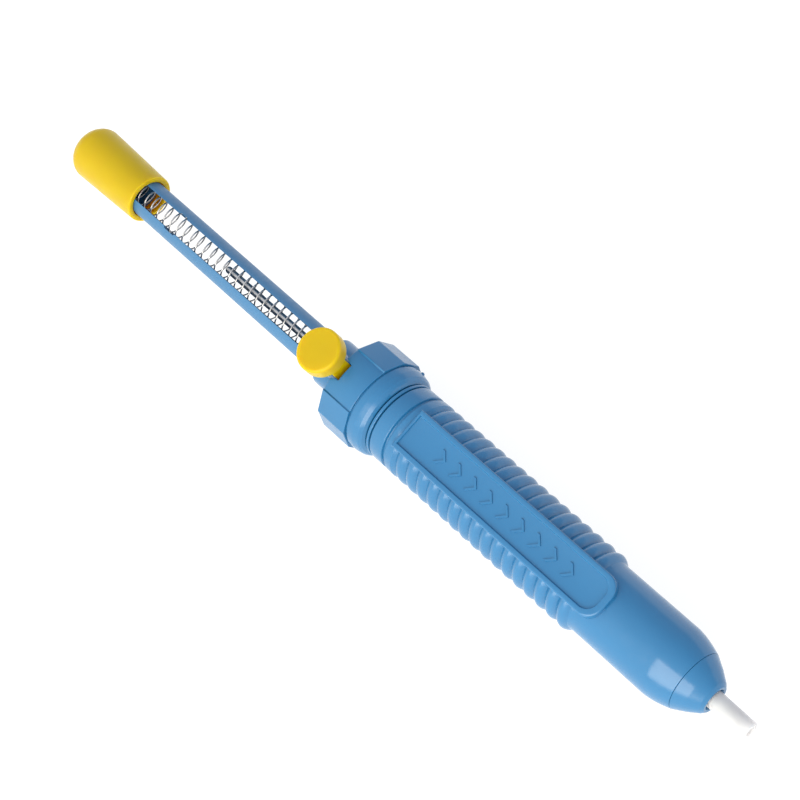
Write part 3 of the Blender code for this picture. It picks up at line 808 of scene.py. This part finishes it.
def make_button():
    edge = BUTTON_EDGE
    disc = [(0, POST_BOTTOM), (POST_RADIUS - 0.3, POST_BOTTOM),
            (POST_RADIUS, POST_BOTTOM + 0.3), (POST_RADIUS, BUTTON_BOTTOM)]
    disc += arc(BUTTON_RADIUS - 0.4, BUTTON_BOTTOM + 0.4, 0.4, -90, 0, 6)
    disc += arc(BUTTON_RADIUS - edge, BUTTON_TOP - edge, edge, 0, 90, 12)
    disc += [(BUTTON_RADIUS * share, BUTTON_TOP) for share in (0.6, 0.4, 0.2)]
    disc.append((0, BUTTON_TOP))
    button = upright("release_button", BUTTON_CENTRE, disc, sides=96)
    inside_button = BUTTON_BOTTOM + 1.5
    stem = filleted([(STEM_REAR, -STEM_HALF, 0.3), (STEM_FRONT, -STEM_HALF, 0.3),
                     (STEM_FRONT, STEM_HALF, 0.3), (STEM_REAR, STEM_HALF, 0.3)])
    boolean(button, stacked("stem", [(stem, STEM_BOTTOM), (stem, inside_button)]), "UNION")
    finish_piece(button, yellow_plastic, "trigger", "button", "trigger_button", smooth=40)


def make_nose():
    outline = filleted([(NOSE_SPIGOT_REAR, NOSE_CAVITY, 0),
                        (NOSE_SPIGOT_REAR, NOSE_SPIGOT_RADIUS, 0.3),
                        (NOSE_GROOVE_START, NOSE_SPIGOT_RADIUS, 0),
                        (NOSE_GROOVE_START, NOSE_GROOVE_FLOOR, 0),
                        (NOSE_GROOVE_END, NOSE_GROOVE_FLOOR, 0),
                        (NOSE_GROOVE_END, NOSE_SPIGOT_RADIUS, 0),
                        (NOSE_START, NOSE_SPIGOT_RADIUS, 0.1),
                        (NOSE_START, SEAM_RADIUS - 0.1, 0.12), (NOSE_START + 3.6, 7.72, 4.0),
                        (NOSE_START + 6.8, 5.5, 0.8), (NOSE_END, NOSE_LIP_RADIUS, 0.3),
                        (NOSE_END, MOUTH_RADIUS, 0.15), (MOUTH_START, NOSE_BORE, 0.3),
                        (NOSE_CAVITY_END, NOSE_BORE, 0),
                        (NOSE_CAVITY_END, NOSE_CAVITY, 0)], steps=8)
    nose = turned("nose_cone_shell", outline, closed=True)
    finish_piece(nose, blue_plastic, "nose", "nose", "nose_cone", smooth=35)


def make_tip():
    outline = filleted([(TIP_REAR, TIP_BORE, 0), (TIP_REAR, TIP_FLANGE, 0.2),
                        (TIP_SHOULDER, TIP_FLANGE, 0.2), (TIP_SHOULDER, TIP_ROOT_RADIUS, 0.1),
                        (TIP_FRONT, TIP_END_RADIUS, 0.55), (TIP_FRONT, TIP_BORE, 0.25)],
                       steps=7)
    tip = turned("nozzle_tube", outline, closed=True, sides=96)
    finish_piece(tip, tip_plastic, "nose", "tip", "nozzle_tip", smooth=40)


def dress_inner_nodes():
    """Materials of the CAD nodes that keep their own shape inside the tool."""
    looks = {
        nylon: ("spring_seat", "shaft_end_plug", "piston", "tip_retainer"),
        rubber: ("piston_o_ring_rear", "piston_o_ring_front", "piston_bumper",
                 "nose_o_ring", "tip_o_ring"),
        steel: ("spring_washer", "rod_nut"),
        # painted shade: the near-black latch plate darkens the notch in front of the stem
        notch_shade_steel: ("latch_plate",),
    }
    for material, names in looks.items():
        for name in names:
            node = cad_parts[name]
            node.data.materials.clear()
            node.data.materials.append(material)


# ----------------------------------------------------------------------- stage

CAMERA_DISTANCE = 0.591
CAMERA_LEAN = math.radians(29.0)      # how far the view leans from overhead toward the tip
CAMERA_ROLL = math.radians(41.25)     # the tool's slope across the picture
CAMERA_LENS = 87.8
AIM_STATION = 0.0
AIM_ACROSS = 4.8
KEY_SPOT = (0.46, -0.56, 0.60)
KEY_TARGET = (0.46, 0, 0)
KEY_SIZE = (0.98, 0.86)
KEY_POWER = 10.5
KEY_COLOUR = (1.0, 0.95, 0.86)
TENT_BRIGHT = (1.35, 1.35, 1.32)
TENT_DIM = (0.60, 0.65, 0.78)


def make_camera():
    toward = Vector((math.sin(CAMERA_LEAN), 0, math.cos(CAMERA_LEAN)))
    along = Vector((math.cos(CAMERA_LEAN), 0, -math.sin(CAMERA_LEAN)))
    side = Vector((0, 1, 0))
    right = along * math.cos(CAMERA_ROLL) + side * math.sin(CAMERA_ROLL)
    up = side * math.cos(CAMERA_ROLL) - along * math.sin(CAMERA_ROLL)
    data = bpy.data.cameras.new("camera")
    data.lens = CAMERA_LENS
    data.sensor_width = 36.0
    data.clip_start = 0.01
    camera = bpy.data.objects.new("camera", data)
    bpy.context.scene.collection.objects.link(camera)
    turn = Matrix((right, up, toward)).transposed().to_4x4()
    spot = place(AIM_STATION, AIM_ACROSS, 0) + toward * CAMERA_DISTANCE
    camera.matrix_world = Matrix.Translation(spot) @ turn
    bpy.context.scene.camera = camera


def make_key_light():
    data = bpy.data.lights.new("key_softbox", "AREA")
    data.shape = "RECTANGLE"
    data.size, data.size_y = KEY_SIZE
    data.energy = KEY_POWER
    data.color = KEY_COLOUR
    light = bpy.data.objects.new("key_softbox", data)
    bpy.context.scene.collection.objects.link(light)
    light.location = KEY_SPOT
    facing = Vector(KEY_TARGET) - Vector(KEY_SPOT)
    light.rotation_euler = facing.to_track_quat("-Z", "Y").to_euler()


def tent_world():
    """A white tent that is bright on the key's side (-Y) and dim behind the tool (+Y)."""
    world = bpy.data.worlds.new("tent")
    world.use_nodes = True
    tree = world.node_tree
    place_node = tree.nodes.new("ShaderNodeTexCoord")
    split = tree.nodes.new("ShaderNodeSeparateXYZ")
    span = tree.nodes.new("ShaderNodeMapRange")
    span.inputs["From Min"].default_value = -0.7
    span.inputs["From Max"].default_value = 0.7
    blend = tree.nodes.new("ShaderNodeMixRGB")
    blend.inputs["Color1"].default_value = (*TENT_BRIGHT, 1.0)
    blend.inputs["Color2"].default_value = (*TENT_DIM, 1.0)
    tree.links.new(place_node.outputs["Generated"], split.inputs["Vector"])
    tree.links.new(split.outputs["Y"], span.inputs["Value"])
    tree.links.new(span.outputs["Result"], blend.inputs["Fac"])
    tree.links.new(blend.outputs["Color"], tree.nodes["Background"].inputs["Color"])
    return world


def make_stage():
    shape = bmesh.new()
    bmesh.ops.create_grid(shape, x_segments=2, y_segments=2, size=2.0)
    mesh = bpy.data.meshes.new("floor")
    shape.to_mesh(mesh)
    shape.free()
    mesh.materials.append(lit_acrylic())
    floor = bpy.data.objects.new("floor", mesh)
    floor.location.z = -0.0002
    bpy.context.scene.collection.objects.link(floor)
    make_key_light()
    bpy.context.scene.world = tent_world()
    bpy.context.scene.view_settings.view_transform = "Standard"


make_barrel()
make_chevrons()
make_rear_cap()
make_mould_nib()
make_gasket()
make_shaft()
make_knob()
make_springs()
make_rod()
make_button()
make_nose()
make_tip()
dress_inner_nodes()
make_camera()
make_stage()
